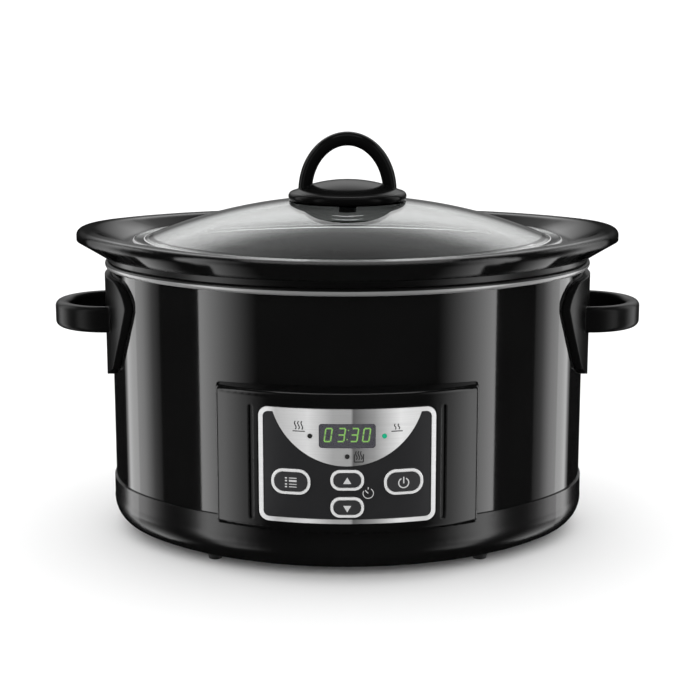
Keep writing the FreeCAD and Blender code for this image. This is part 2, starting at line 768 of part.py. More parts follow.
def button_bezels():
    """Bright ring round each button."""
    slab = panel_wedge(FASCIA_BACK, PANEL_RADIUS + BEZEL_PROUD, PANEL_BOTTOM, PANEL_TOP, PANEL_HALF_WIDTH)
    rings = []
    for name in BUTTONS:
        ring = front_prism(button_outline(name, 0)).cut(front_prism(button_outline(name, BEZEL_WIDTH)))
        rings.append(ring.common(slab).Solids[0])
    return Part.makeCompound(rings)


def button(name):
    """Button cap with the stem that reaches its switch."""
    x, z, _ = BUTTONS[name]
    slab = panel_wedge(PANEL_INSIDE, PANEL_RADIUS + BUTTON_PROUD, PANEL_BOTTOM, PANEL_TOP, PANEL_HALF_WIDTH)
    cap = slab.common(front_prism(button_outline(name, BEZEL_WIDTH + BUTTON_GAP))).Solids[0]
    tip = SWITCH_FRONT_Y - BUTTON_TRAVEL - SEAT
    start = PANEL_CENTRE_Y - math.sqrt(FASCIA_BACK**2 - x**2)
    stem = cylinder(STEM_RADIUS, tip - start, V(x, start, z), V(0, 1, 0))
    return fused([cap, stem])


def display_window():
    slab = panel_wedge(FASCIA_BACK, PANEL_RADIUS + FRAME_PROUD / 2, PANEL_BOTTOM, PANEL_TOP, PANEL_HALF_WIDTH)
    return slab.common(front_prism(window_outline(FIT))).Solids[0]


def display_module():
    """Block of four digits on the control board, just behind the window."""
    half = WINDOW_WIDTH / 2 - 1
    front = PANEL_CENTRE_Y - math.sqrt(FASCIA_BACK**2 - half**2) + SEAT
    return box((-half, front, WINDOW_Z - WINDOW_HEIGHT / 2 + 1),
               (half, BOARD_FRONT_Y, WINDOW_Z + WINDOW_HEIGHT / 2 - 1))


def led(place):
    """Lamp with a round front, standing on the control board."""
    x, z = place
    front = PANEL_CENTRE_Y - math.sqrt((PANEL_RADIUS + FRAME_PROUD) ** 2 - x**2)
    barrel = cylinder(LED_RADIUS, BOARD_FRONT_Y - front, V(x, front, z), V(0, 1, 0))
    dome = Part.makeSphere(LED_RADIUS, V(x, front, z))
    tip = box((x - PAST, front - LED_RADIUS * 0.4, z - PAST), (x + PAST, front + PAST, z + PAST))
    return fused([barrel, dome.common(tip)])


def low_led():
    return led(led_places()["low"])


def idle_leds():
    return Part.makeCompound([led(led_places()[name]) for name in ("high", "warm")])


def control_board():
    return box((-BOARD_HALF_WIDTH, BOARD_FRONT_Y, FASCIA_BOTTOM + BOARD_MARGIN),
               (BOARD_HALF_WIDTH, BOARD_BACK_Y, FASCIA_TOP - BOARD_MARGIN))


def tact_switches():
    half = SWITCH_SIDE / 2
    return Part.makeCompound([
        box((x - half, SWITCH_FRONT_Y, z - half), (x + half, BOARD_FRONT_Y, z + half))
        for x, z, _ in BUTTONS.values()
    ])


# Pot

def wing_wire(inset, height):
    """The pot's rim outline seen from above, drawn out into a wing at each end."""
    return arcs_wire(four_arcs(
        WALL_HALF_LENGTH + RIM_REACH + WING_REACH - inset,
        WALL_HALF_WIDTH + RIM_REACH - inset,
        WING_END_RADIUS - inset,
    ), height)


def pot_rim():
    """Flared rim: it leans out from a plain oval to the winged one and ends in a blunt edge, its crest
    sweeps up towards both ends, and inside the lip it falls like a dish to the lid's seat."""
    top = RIM_CREST + WING_RISE
    seat_edge = -LID_INSET + LID_SIDE_GAP
    flare = Part.makeLoft([oval_wire(RIM_BOTTOM_REACH, RIM_UNDER), wing_wire(0, top - RIM_EDGE)], True, True)
    edge = Part.Face(wing_wire(0, top - RIM_EDGE)).extrude(V(0, 0, RIM_EDGE))
    wing_tip = WALL_HALF_LENGTH + RIM_REACH + WING_REACH
    sweep = (wing_tip**2 + WING_RISE**2) / (2 * WING_RISE)
    hollow = cylinder(sweep, 4 * WALL_HALF_WIDTH, V(0, -2 * WALL_HALF_WIDTH, RIM_CREST + sweep), V(0, 1, 0))
    dish = Part.makeLoft([oval_wire(seat_edge, LID_SEAT), wing_wire(RIM_LIP, top)], True, True)
    crown = flare.fuse(edge).cut(hollow)
    crown = crown.cut(dish)
    crest = [e for e in crown.Edges if e.BoundBox.ZMin > RIM_CREST - 0.5]
    crown = crown.makeFillet(RIM_ROUND, crest)
    return crown.cut(oval_block(seat_edge, LID_SEAT - SEAT, top + PAST))


def stoneware_pot():
    """Glazed pot: drafted wall, rounded floor and a winged rim with a level seat for the lid."""
    outside = POT_OUTSIDE
    foot = outside - POT_DRAFT
    inside = outside - POT_WALL
    inside_foot = foot - POT_WALL
    bottom = POT_FLOOR_BOTTOM
    floor = bottom + POT_FLOOR
    core = foot - POT_CORNER - POT_WALL - 1
    outer_corner = (foot - POT_CORNER, bottom + POT_CORNER)
    inner_corner = (inside_foot - POT_CORNER, floor + POT_CORNER)
    wall = oval_ring([
        (core, bottom),
        (outer_corner[0], bottom),
        round_arc(outer_corner, POT_CORNER, -90, 0),
        (outside, RIM_UNDER),
        (outside + POT_WALL, RIM_UNDER),
        (outside + POT_WALL, LID_SEAT),
        (inside, LID_SEAT),
        (inside_foot, inner_corner[1]),
        round_arc(inner_corner, POT_CORNER, 0, -90),
        (core, floor),
    ])
    base = oval_block(core, bottom, floor)
    rim = pot_rim().cut(oval_block(outside + POT_WALL / 2, RIM_UNDER - PAST, RIM_CREST + PAST))
    return fused([wall, base, rim])


# Lid

def dome_height(share):
    """Height of the glass over its centre line, where the outline is this share of the lid's."""
    return LID_APEX - DOME_RADIUS + math.sqrt(DOME_RADIUS**2 - (share * LID_HALF_LENGTH) ** 2)


def dome(inset, drop):
    """The dome as a closed solid under similar ovals that climb a circle to a flat pad."""
    steps = 5
    sections = []
    for i in range(steps + 1):
        share = DOME_EDGE_SHARE + (LID_PAD_SHARE - DOME_EDGE_SHARE) * i / steps
        arcs = four_arcs(
            LID_HALF_LENGTH * share - inset,
            (WALL_HALF_WIDTH - LID_INSET) * share - inset,
            (WALL_END_RADIUS - LID_INSET) * share - inset,
        )
        sections.append(arcs_wire(arcs, dome_height(share) - drop))
    return Part.makeLoft(sections, True, False)


def lid_glass():
    """Domed glass with a thick rounded rim that drops into the pot's seat."""
    top = LID_BOTTOM + LID_RIM_HEIGHT
    bead = LID_RIM_HEIGHT / 2
    edge = -LID_INSET
    inner = edge - GLASS * 3
    under = dome_height(DOME_EDGE_SHARE) - GLASS
    rim = oval_ring([
        (inner, min(under, LID_BOTTOM)),
        (edge - bead, LID_BOTTOM),
        round_arc((edge - bead, LID_BOTTOM + bead), bead, -90, 90),
        (inner, dome_height(DOME_EDGE_SHARE) + 0.5),
    ])
    skin = dome(0, 0).cut(dome(0, GLASS))
    hole = cylinder(KNOB_SCREW_RADIUS + SEAT, LID_APEX, V(0, 0, 0))
    return fused([rim, skin]).cut([hole, dome(0, GLASS)])


def lid_pad_height():
    return dome_height(LID_PAD_SHARE)


def lid_knob():
    """Knob moulding: a saucer on the glass and an arched grip across it."""
    seat = lid_pad_height()
    edge = KNOB_EDGE / 2
    rim = KNOB_RADIUS - edge
    foot = seat + KNOB_EDGE
    ball = (rim**2 + KNOB_MOUND**2) / (2 * KNOB_MOUND)
    half_angle = math.degrees(math.asin(rim / ball))
    saucer = Part.Face(outline([
        (0, seat),
        (rim, seat),
        round_arc((rim, seat + edge), edge, -90, 90),
        round_arc((0, foot + KNOB_MOUND - ball), ball, 90 - half_angle, 90),
    ])).revolve(V(0, 0, 0), UP, 360)
    spine = Part.Ellipse(V(0, 0, foot + ARCH_HEIGHT), V(ARCH_HALF_SPAN, 0, foot), V(0, 0, foot))
    path = Part.Wire([Part.ArcOfEllipse(spine, -math.pi / 2, math.pi / 2).toShape()])
    start = path.Edges[0].valueAt(path.Edges[0].FirstParameter)
    section = Part.Ellipse(V(0, 0, 0), ARCH_DEPTH / 2, ARCH_THICK / 2).toShape()
    section.rotate(V(0, 0, 0), UP, 90)
    section.translate(start)
    arch = path.makePipeShell([Part.Wire([section])], True, True)
    hole = cylinder(KNOB_SCREW_RADIUS + FIT, KNOB_EDGE + KNOB_MOUND * 0.6, V(0, 0, seat))
    return fused([saucer, arch]).cut(hole)


def knob_washer():
    """Soft washer under the glass."""
    top = lid_pad_height() - GLASS
    ring = cylinder(KNOB_SCREW_RADIUS * 3, 2.0, V(0, 0, top - 2.0))
    return ring.cut(cylinder(KNOB_SCREW_RADIUS + SEAT, GLASS, V(0, 0, top - GLASS)))


def knob_screw():
    top = lid_pad_height()
    head_top = top - GLASS - 2.0
    head = cylinder(KNOB_SCREW_RADIUS * 2, KNOB_SCREW_RADIUS, V(0, 0, head_top - KNOB_SCREW_RADIUS))
    shank = cylinder(KNOB_SCREW_RADIUS, top + KNOB_EDGE + KNOB_MOUND * 0.5 - head_top, V(0, 0, head_top))
    return fused([head, shank])


PIECES = {
    "outer_shell": outer_shell,
    "rim_ring": rim_ring,
    "heating_well": heating_well,
    "heater_band": heater_band,
    "temperature_sensor": temperature_sensor,
    "thermal_cutout": thermal_cutout,
    "base_tray": base_tray,
    "rubber_feet": rubber_feet,
    "base_screws": base_screws,
    "cord_gland": cord_gland,
    "power_board": power_board,
    "relay": relay,
    "transformer": transformer,
    "handle_left": handle_left,
    "handle_right": handle_right,
    "handle_screws": handle_screws,
    "control_housing": control_housing,
    "fascia_frame": fascia_frame,
    "fascia_plate": fascia_plate,
    "button_bezels": button_bezels,
    "display_window": display_window,
    "display_module": display_module,
    "low_led": low_led,
    "idle_leds": idle_leds,
    "control_board": control_board,
    "tact_switches": tact_switches,
    "stoneware_pot": stoneware_pot,
    "lid_glass": lid_glass,
    "lid_knob": lid_knob,
    "knob_washer": knob_washer,
    "knob_screw": knob_screw,
}


def main():
    os.makedirs("parts", exist_ok=True)
    for name, make in PIECES.items():
        shape = make()
        shape.exportStep(f"parts/{name}.step")
        print(name, "solids", len(shape.Solids), "valid", shape.isValid(), "volume", round(shape.Volume))
    for name in BUTTONS:
        shape = button(name)
        shape.exportStep(f"parts/{name}.step")
        print(name, "solids", len(shape.Solids), "valid", shape.isValid(), "volume", round(shape.Volume))


main()
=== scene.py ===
# %% [markdown]
# # An oval slow cooker, dressed for its picture
# The shapes come from the measured model and stay as they are. This lesson gives every piece its
# finish, prints the panel, lights the display, and sets up a small product studio round the
# cooker.

# %% Load the measured model
import math

import bmesh
import bpy
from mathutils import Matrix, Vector


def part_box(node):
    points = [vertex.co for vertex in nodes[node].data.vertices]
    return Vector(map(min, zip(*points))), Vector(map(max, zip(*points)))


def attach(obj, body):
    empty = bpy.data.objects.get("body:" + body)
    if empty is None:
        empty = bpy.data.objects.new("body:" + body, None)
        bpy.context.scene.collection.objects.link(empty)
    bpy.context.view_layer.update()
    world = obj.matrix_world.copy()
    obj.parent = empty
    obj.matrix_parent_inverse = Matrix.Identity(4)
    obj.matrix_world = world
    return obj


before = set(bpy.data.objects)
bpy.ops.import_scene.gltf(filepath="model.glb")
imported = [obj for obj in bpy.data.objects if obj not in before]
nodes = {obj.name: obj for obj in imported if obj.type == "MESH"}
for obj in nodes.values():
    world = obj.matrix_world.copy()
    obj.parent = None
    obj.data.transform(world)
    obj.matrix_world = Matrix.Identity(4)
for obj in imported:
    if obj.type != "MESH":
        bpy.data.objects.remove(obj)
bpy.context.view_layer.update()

# %% [markdown]
# ## Shared surface effects
# Real surfaces are never even: a moulding has a fine grain, a wiped panel has faint marks,
# brushed metal has fine parallel lines. Each effect could be built again in every material, but
# one node group for all keeps them alike and easy to change. Groups and materials are trees of
# nodes, so three small helpers come first: one adds a node, one wires a list of links, one starts
# a group.

# %% Helpers for node trees
def add(tree, kind, **settings):
    """A node with some of its settings or input values given by name."""
    node = tree.nodes.new(kind)
    for key, value in settings.items():
        if key in node.inputs:
            node.inputs[key].default_value = value
        else:
            setattr(node, key, value)
    return node


def wire(tree, *joins):
    """Links, each given as a node and its output, then a node and its input."""
    for start, output, end, entry in joins:
        tree.links.new(start.outputs[output], end.inputs[entry])


def new_group(name, inputs, outputs):
    """An empty shader group with its sockets, and its two end nodes."""
    tree = bpy.data.node_groups.new(name, "ShaderNodeTree")
    for label, kind, default in inputs:
        socket = tree.interface.new_socket(label, in_out="INPUT", socket_type=kind)
        socket.default_value = default
    for label, kind in outputs:
        tree.interface.new_socket(label, in_out="OUTPUT", socket_type=kind)
    return tree, add(tree, "NodeGroupInput"), add(tree, "NodeGroupOutput")


print("helpers ready")

# %% [markdown]
# The first group is the grain of a moulded or enamelled surface. A coarse noise shifts the tone
# and the gloss a little, as thickness and flow do in a real coating, and a fine noise makes the
# bumps. Both read object coordinates, so the pattern stays on the piece when it moves. Edges of
# mouldings and glazes are never sharp. Cutting round edges into the mesh would change the
# measured shape, so a Bevel node bends only the light round them.

# %% Group: moulded grain
VALUE, VECTOR = "NodeSocketFloat", "NodeSocketVector"
SURFACE = [("Tone", VALUE), ("Roughness", VALUE), ("Normal", VECTOR)]
GRAIN_DEPTH, BEVEL_SAMPLES = 0.0004, 6


def make_grain():
    tree, start, end = new_group(
        "moulded_grain",
        [("Cloud Scale", VALUE, 14.0), ("Grain Scale", VALUE, 900.0), ("Bump", VALUE, 0.05),
         ("Gloss Low", VALUE, 0.2), ("Gloss High", VALUE, 0.3), ("Edge Round", VALUE, 0.0004)],
        SURFACE,
    )
    place = add(tree, "ShaderNodeTexCoord")
    soft = add(tree, "ShaderNodeBevel", samples=BEVEL_SAMPLES)
    cloud = add(tree, "ShaderNodeTexNoise", Detail=3.0)
    grain = add(tree, "ShaderNodeTexNoise", Detail=2.0)
    gloss = add(tree, "ShaderNodeMapRange")
    bump = add(tree, "ShaderNodeBump", Distance=GRAIN_DEPTH)
    wire(tree,
         (place, "Object", cloud, "Vector"), (place, "Object", grain, "Vector"),
         (start, "Cloud Scale", cloud, "Scale"), (start, "Grain Scale", grain, "Scale"),
         (cloud, "Fac", gloss, "Value"),
         (start, "Gloss Low", gloss, "To Min"), (start, "Gloss High", gloss, "To Max"),
         (start, "Edge Round", soft, "Radius"), (soft, "Normal", bump, "Normal"),
         (grain, "Fac", bump, "Height"), (start, "Bump", bump, "Strength"),
         (cloud, "Fac", end, "Tone"), (gloss, "Result", end, "Roughness"),
         (bump, "Normal", end, "Normal"))
    return tree


GRAIN = make_grain()
print("group", GRAIN.name, "nodes", len(GRAIN.nodes))

# %% [markdown]
# The second group is brushed metal. A picture of brushed steel would do from close by, but it
# shows its seams. Stretching a noise many times along one direction turns its spots into lines
# that never repeat, and the same lines drive tone, gloss and bump so that they agree.

# %% Group: brushed lines
LINE_DEPTH = 0.0002


def make_brushed():
    tree, start, end = new_group(
        "brushed_lines",
        [("Stretch", VECTOR, (1.0, 1.0, 1.0)), ("Scale", VALUE, 60.0), ("Bump", VALUE, 0.05),
         ("Gloss Low", VALUE, 0.25), ("Gloss High", VALUE, 0.4)],
        SURFACE,
    )
    place = add(tree, "ShaderNodeTexCoord")
    stretch = add(tree, "ShaderNodeVectorMath", operation="MULTIPLY")
    lines = add(tree, "ShaderNodeTexNoise", Detail=4.0, Roughness=0.65)
    gloss = add(tree, "ShaderNodeMapRange")
    bump = add(tree, "ShaderNodeBump", Distance=LINE_DEPTH)
    wire(tree,
         (place, "Object", stretch, 0), (start, "Stretch", stretch, 1),
         (stretch, "Vector", lines, "Vector"), (start, "Scale", lines, "Scale"),
         (lines, "Fac", gloss, "Value"),
         (start, "Gloss Low", gloss, "To Min"), (start, "Gloss High", gloss, "To Max"),
         (lines, "Fac", bump, "Height"), (start, "Bump", bump, "Strength"),
         (lines, "Fac", end, "Tone"), (gloss, "Result", end, "Roughness"),
         (bump, "Normal", end, "Normal"))
    return tree


BRUSHED = make_brushed()
print("group", BRUSHED.name, "nodes", len(BRUSHED.nodes))

# %% [markdown]
# ## Materials
# One flat colour looks drawn, so a material mixes two close colours by the group's tone. It takes
# its gloss and bumps from the group, and adds what is special to it: a clear coat for enamel and
# glaze, transmission for glass, light for lamps. What is the same all over is set on the shader
# itself.

# %% Material maker
MIX_A, MIX_B, MIX_OUT = 6, 7, 2  # a Mix node's sockets for colours


def material(name, dark, light, group, settings, **surface):
    """A surface whose tone, gloss and bumps come from a shared group."""
    made = bpy.data.materials.new(name)
    made.use_nodes = True
    tree = made.node_tree
    shader = tree.nodes["Principled BSDF"]
    effect = add(tree, "ShaderNodeGroup", node_tree=group)
    for key, value in settings.items():
        effect.inputs[key].default_value = value
    tone = add(tree, "ShaderNodeMix", name="Tone", data_type="RGBA")
    tone.inputs[MIX_A].default_value = (*dark, 1)
    tone.inputs[MIX_B].default_value = (*light, 1)
    wire(tree,
         (effect, "Tone", tone, "Factor"), (tone, MIX_OUT, shader, "Base Color"),
         (effect, "Roughness", shader, "Roughness"), (effect, "Normal", shader, "Normal"))
    for key, value in surface.items():
        shader.inputs[key.replace("_", " ")].default_value = value
    return made


def grey(value, blue=0.0):
    return (value, value, value + blue)


print("material maker ready")

# %% [markdown]
# The dark finishes. Enamel on the steel wrap is nearly a mirror: almost black, with a hard clear
# coat. The panel's housing, the base, the handles and the knob are mouldings, from gloss to
# satin, and the feet are soft rubber. A black that is too light looks like grey plastic, so all
# of them stay close to zero and differ in gloss.

# %% Dark finishes
def names_of(*finishes):
    return [finish.name for finish in finishes]


enamel = material(
    "gloss_enamel", grey(0.0025), grey(0.005), GRAIN,
    {"Bump": 0.008, "Gloss Low": 0.05, "Gloss High": 0.08},
    Coat_Weight=0.2, Coat_Roughness=0.03)
gloss_plastic = material(
    "gloss_moulding", grey(0.002), grey(0.004), GRAIN,
    {"Bump": 0.015, "Gloss Low": 0.09, "Gloss High": 0.13, "Edge Round": 0.0012},
    Specular_IOR_Level=0.4)
knob_plastic = material(
    "knob_moulding", grey(0.002), grey(0.004), GRAIN,
    {"Bump": 0.015, "Gloss Low": 0.1, "Gloss High": 0.16, "Edge Round": 0.001},
    Specular_IOR_Level=0.04)
handle_plastic = material(
    "handle_moulding", grey(0.002), grey(0.004), GRAIN,
    {"Grain Scale": 1200.0, "Bump": 0.04, "Gloss Low": 0.26, "Gloss High": 0.34,
     "Edge Round": 0.0015},
    Specular_IOR_Level=0.12)
satin_plastic = material(
    "satin_moulding", grey(0.0025), grey(0.005), GRAIN,
    {"Grain Scale": 1400.0, "Bump": 0.05, "Gloss Low": 0.17, "Gloss High": 0.24})
rubber = material(
    "soft_rubber", grey(0.012), grey(0.022), GRAIN,
    {"Grain Scale": 1800.0, "Bump": 0.25, "Gloss Low": 0.6, "Gloss High": 0.75})
print("dark finishes:", names_of(enamel, gloss_plastic, knob_plastic, handle_plastic,
                                 satin_plastic, rubber))

# %% [markdown]
# The pot's glaze is a layer of glass over a black body. A second shell of real glass could stand
# for it, but a clear coat on a body with no shine of its own does the same, and its weight can
# change over the surface: the glaze is full on the rim and runs thinner from the inner side of
# each wing to its tip. The coat has a normal of its own, so it gets its own soft edges.

# %% Glaze of the pot
GLAZE_ROUND = 0.004
WING_INNER, WING_TIP = 0.145, 0.171
FULL_COAT, TIP_COAT = 1.0, 0.1

glaze = material(
    "black_glaze", grey(0.002), grey(0.004), GRAIN,
    {"Cloud Scale": 30.0, "Bump": 0.015, "Gloss Low": 0.05, "Gloss High": 0.1,
     "Edge Round": GLAZE_ROUND},
    Specular_IOR_Level=0.0, Coat_Roughness=0.07)


def place_on(tree, kind="Object"):
    """The place on a piece, split into its parts along X, Y and Z."""
    place, split = add(tree, "ShaderNodeTexCoord"), add(tree, "ShaderNodeSeparateXYZ")
    wire(tree, (place, kind, split, "Vector"))
    return split


def map_range(tree, reads=(0.0, 1.0), gives=(0.0, 1.0)):
    """A Map Range node with the span that it reads and the span that it gives."""
    node = add(tree, "ShaderNodeMapRange")
    for label, value in zip(("From Min", "From Max", "To Min", "To Max"), (*reads, *gives)):
        node.inputs[label].default_value = value
    return node


def thin_towards_tips(finish):
    """Gives a finish a clear coat that thins towards both ends of the pot."""
    tree = finish.node_tree
    shader = tree.nodes["Principled BSDF"]
    split = place_on(tree)
    away = add(tree, "ShaderNodeMath", operation="ABSOLUTE")
    thin = map_range(tree, (WING_INNER, WING_TIP), (FULL_COAT, TIP_COAT))
    soft = add(tree, "ShaderNodeBevel", samples=BEVEL_SAMPLES, Radius=GLAZE_ROUND)
    wire(tree,
         (split, "X", away, 0), (away, "Value", thin, "Value"),
         (thin, "Result", shader, "Coat Weight"), (soft, "Normal", shader, "Coat Normal"))


thin_towards_tips(glaze)
print("glaze:", glaze.name, "with nodes", len(glaze.node_tree.nodes))

# %% [markdown]
# The frame round the panel is brushed along its length. The broad light and dark stripes across
# its width are painted reflection: a colour ramp along x lays the light and shade that brushed
# trim mirrors onto the metal's colour. Anisotropic gloss could give them, but only under one light,
# so the ramp paints them on the metal.

# %% Brushed frame of the panel, with painted reflection
# Painted reflection, as (place across the frame, brightness) stops of a colour ramp.
PAINTED_SHEEN = ((0.0, 1.3), (0.05, 1.25), (0.1, 0.85), (0.28, 1.25), (0.42, 0.66), (0.52, 0.64),
         (0.535, 0.22), (0.65, 0.55), (0.8, 1.4), (0.94, 1.15), (1.0, 1.4))

frame_trim = material(
    "brushed_frame", grey(0.48), grey(0.66), BRUSHED,
    {"Stretch": (1.0, 1.0, 80.0), "Scale": 25.0, "Bump": 0.06, "Gloss Low": 0.3,
     "Gloss High": 0.42},
    Metallic=0.25)


def set_stops(ramp, stops):
    """Grey stops of a colour ramp, from (place, value) pairs that start at 0 and end at 1."""
    ends = ramp.color_ramp.elements
    for at, value in stops:
        stop = ends[0] if at == 0 else ends[-1] if at == 1 else ends.new(at)
        stop.color = (value, value, value, 1)


def paint_reflection_stripes(finish, left, right):
    """Multiplies a finish's colour by painted reflection stripes, between two places along x."""
    tree = finish.node_tree
    split = place_on(tree)
    across = map_range(tree, (left, right))
    ramp = add(tree, "ShaderNodeValToRGB")
    set_stops(ramp, PAINTED_SHEEN)
    bands = add(tree, "ShaderNodeMix", data_type="RGBA", blend_type="MULTIPLY")
    bands.inputs["Factor"].default_value = 1.0
    wire(tree,
         (split, "X", across, "Value"), (across, "Result", ramp, "Fac"),
         (tree.nodes["Tone"], MIX_OUT, bands, MIX_A), (ramp, "Color", bands, MIX_B),
         (bands, MIX_OUT, tree.nodes["Principled BSDF"], "Base Color"))


# The painted reflection stripes span the frame from its left edge to its right edge.
low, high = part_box("fascia_frame")
paint_reflection_stripes(frame_trim, low.x, high.x)
print("frame bands:", len(PAINTED_SHEEN), "over", round((high.x - low.x) * 1000), "mm")

# %% [markdown]
# The ring under the rim is bare satin metal. Its neck and the top of its bead are painted black,
# as dark as the wall: painted shade, where the pot's rim shades the ring. The ring could be split
# into two meshes, but the measured piece stays whole. The painted black ends in a line at one
# level, with a narrow soft step, so the height on the ring tells painted shade and metal apart.

# %% Bare bead of the ring, with painted shade on its neck
# Painted shade: black from this rise above the ring's foot, with a narrow soft step.
SHADE_RISE, SHADE_STEP = 0.0029, 0.0003
SHADE_BLACK = (0.003, 0.003, 0.003, 1)
BARE_METAL, NO_METAL = 0.55, 0.0

bead = material(
    "beaded_ring", grey(0.3), grey(0.38), BRUSHED,
    {"Stretch": (1.0, 1.0, 30.0), "Scale": 20.0, "Bump": 0.01, "Gloss Low": 0.25,
     "Gloss High": 0.35})


def paint_shade_above(finish, height):
    """Paints black shade on a finish above a level, and takes the metal away there."""
    tree = finish.node_tree
    shader = tree.nodes["Principled BSDF"]
    split = place_on(tree)
    above = map_range(tree, (height, height + SHADE_STEP))
    shade_coat = add(tree, "ShaderNodeMix", data_type="RGBA")
    shade_coat.inputs[MIX_B].default_value = SHADE_BLACK
    metal = map_range(tree, gives=(BARE_METAL, NO_METAL))
    wire(tree,
         (split, "Z", above, "Value"),
         (above, "Result", shade_coat, "Factor"), (above, "Result", metal, "Value"),
         (tree.nodes["Tone"], MIX_OUT, shade_coat, MIX_A), (shade_coat, MIX_OUT, shader, "Base Color"),
         (metal, "Result", shader, "Metallic"))


# The painted shade covers the neck and the top of the bead.
shade_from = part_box("rim_ring")[0].z + SHADE_RISE
paint_shade_above(bead, shade_from)
print("ring painted from z =", round(shade_from, 4))

# %% [markdown]
# The other metals. The key rings are chrome. A pure mirror would go black where it has only a
# dark studio to mirror, so they are only part metal. The well is drawn aluminium with upright
# lines, and the screws are zinc plated, which has a fine cloudy crystal pattern.

# %% Chrome, aluminium and zinc
chrome = material(
    "bezel_chrome", grey(0.66), grey(0.8), GRAIN,
    {"Bump": 0.01, "Gloss Low": 0.14, "Gloss High": 0.2, "Edge Round": 0.0008}, Metallic=0.2)
drawn = material(
    "drawn_aluminium", grey(0.42), grey(0.55), BRUSHED,
    {"Stretch": (40.0, 40.0, 1.0), "Scale": 12.0, "Bump": 0.05, "Gloss Low": 0.3,
     "Gloss High": 0.45},
    Metallic=1.0)
zinc = material(
    "zinc_plate", grey(0.45), grey(0.6), GRAIN,
    {"Cloud Scale": 220.0, "Bump": 0.05, "Gloss Low": 0.25, "Gloss High": 0.4}, Metallic=1.0)
print("metals:", names_of(frame_trim, bead, chrome, drawn, zinc))

# %% [markdown]
# The panel and the parts inside. The dark plate is satin and the keys are a little lighter. The
# boards have a green mask with the faint lines of tracks under it, and the heating band is brown
# mica in thin layers. Both are patterns of lines, so the brushed group does for them too.

# %% Panel and inner parts
graphite = material(
    "graphite_panel", grey(0.012, 0.001), grey(0.02, 0.002), GRAIN,
    {"Grain Scale": 2200.0, "Bump": 0.08, "Gloss Low": 0.3, "Gloss High": 0.38})
key_plastic = material(
    "key_moulding", grey(0.022, 0.001), grey(0.034, 0.002), GRAIN,
    {"Grain Scale": 2200.0, "Bump": 0.06, "Gloss Low": 0.3, "Gloss High": 0.4})
board = material(
    "solder_mask", (0.01, 0.06, 0.02), (0.02, 0.1, 0.035), BRUSHED,
    {"Stretch": (1.0, 8.0, 8.0), "Scale": 120.0, "Bump": 0.1, "Gloss Low": 0.3,
     "Gloss High": 0.45})
casing = material(
    "dark_casing", grey(0.015), grey(0.03), GRAIN,
    {"Bump": 0.1, "Gloss Low": 0.4, "Gloss High": 0.5})
mica = material(
    "mica_band", (0.26, 0.2, 0.13), (0.42, 0.34, 0.24), BRUSHED,
    {"Stretch": (1.0, 1.0, 14.0), "Scale": 40.0, "Bump": 0.1, "Gloss Low": 0.35,
     "Gloss High": 0.55})
print("panel and inner:", names_of(graphite, key_plastic, board, casing, mica))

# %% [markdown]
# Clear things. The lid is a solid of glass, so light bends on the way in and out; a trace of
# green comes from the iron in it. The display window is smoked, and the lamps are coloured
# lenses, of which one is lit.

# %% Glass, window and lamps
lid_glass = material(
    "clear_glass", (0.93, 0.96, 0.95), (0.97, 0.99, 0.98), GRAIN,
    {"Cloud Scale": 6.0, "Bump": 0.0, "Gloss Low": 0.0, "Gloss High": 0.015, "Edge Round": 0.0},
    Transmission_Weight=1.0, IOR=1.5)
smoked = material(
    "smoked_window", (0.35, 0.34, 0.4), (0.42, 0.41, 0.47), GRAIN,
    {"Bump": 0.0, "Gloss Low": 0.05, "Gloss High": 0.09, "Edge Round": 0.0},
    Transmission_Weight=0.86, IOR=1.2)
lit_lens = material(
    "lit_lens", (0.005, 0.2, 0.11), (0.01, 0.28, 0.15), GRAIN,
    {"Cloud Scale": 300.0, "Bump": 0.02, "Gloss Low": 0.1, "Gloss High": 0.2},
    Emission_Color=(0.01, 0.55, 0.28, 1), Emission_Strength=0.2)
dark_lens = material(
    "dark_lens", grey(0.01), grey(0.03), GRAIN,
    {"Cloud Scale": 300.0, "Bump": 0.02, "Gloss Low": 0.08, "Gloss High": 0.16})
print("clear things:", names_of(lid_glass, smoked, lit_lens, dark_lens))

# %% [markdown]
# ## Dressing
# Each measured piece takes its finish here. Single faces could be painted, but every piece is of
# one material, so one finish replaces the plain one that came with the model. The mesh stays as
# it is.

# %% Dress the measured pieces
DRESS = {
    enamel: ["outer_shell"],
    glaze: ["stoneware_pot"],
    gloss_plastic: ["control_housing"],
    knob_plastic: ["lid_knob"],
    handle_plastic: ["handle_left", "handle_right"],
    satin_plastic: ["base_tray"],
    rubber: ["rubber_feet", "cord_gland", "knob_washer"],
    bead: ["rim_ring"],
    frame_trim: ["fascia_frame"],
    chrome: ["button_bezels"],
    drawn: ["heating_well", "temperature_sensor"],
    zinc: ["base_screws", "handle_screws", "knob_screw"],
    graphite: ["fascia_plate"],
    key_plastic: ["select_button", "up_button", "down_button", "power_button"],
    board: ["control_board", "power_board"],
    casing: ["relay", "transformer", "thermal_cutout", "tact_switches", "display_module"],
    mica: ["heater_band"],
    lid_glass: ["lid_glass"],
    smoked: ["display_window"],
    lit_lens: ["low_led"],
    dark_lens: ["idle_leds"],
}
for finish, names in DRESS.items():
    for name in names:
        nodes[name].data.materials.clear()
        nodes[name].data.materials.append(finish)
print("dressed", sum(len(names) for names in DRESS.values()), "of", len(nodes))

# %% [markdown]
# A narrow band of the lid's edge is ground, which shows as a pale line. Ground glass scatters
# light and lets little through, so the band is a thin film on the glass. Drawing the oval again
# could miss the real edge, so the film is a copy of the lid's surface, cut by two level planes,
# of which only the outward side is kept.

# %% Ground edge of the lid
EDGE_LOW, EDGE_HIGH, EDGE_LIFT = 0.00345, 0.00475, 0.00003
MERGE = 1e-6

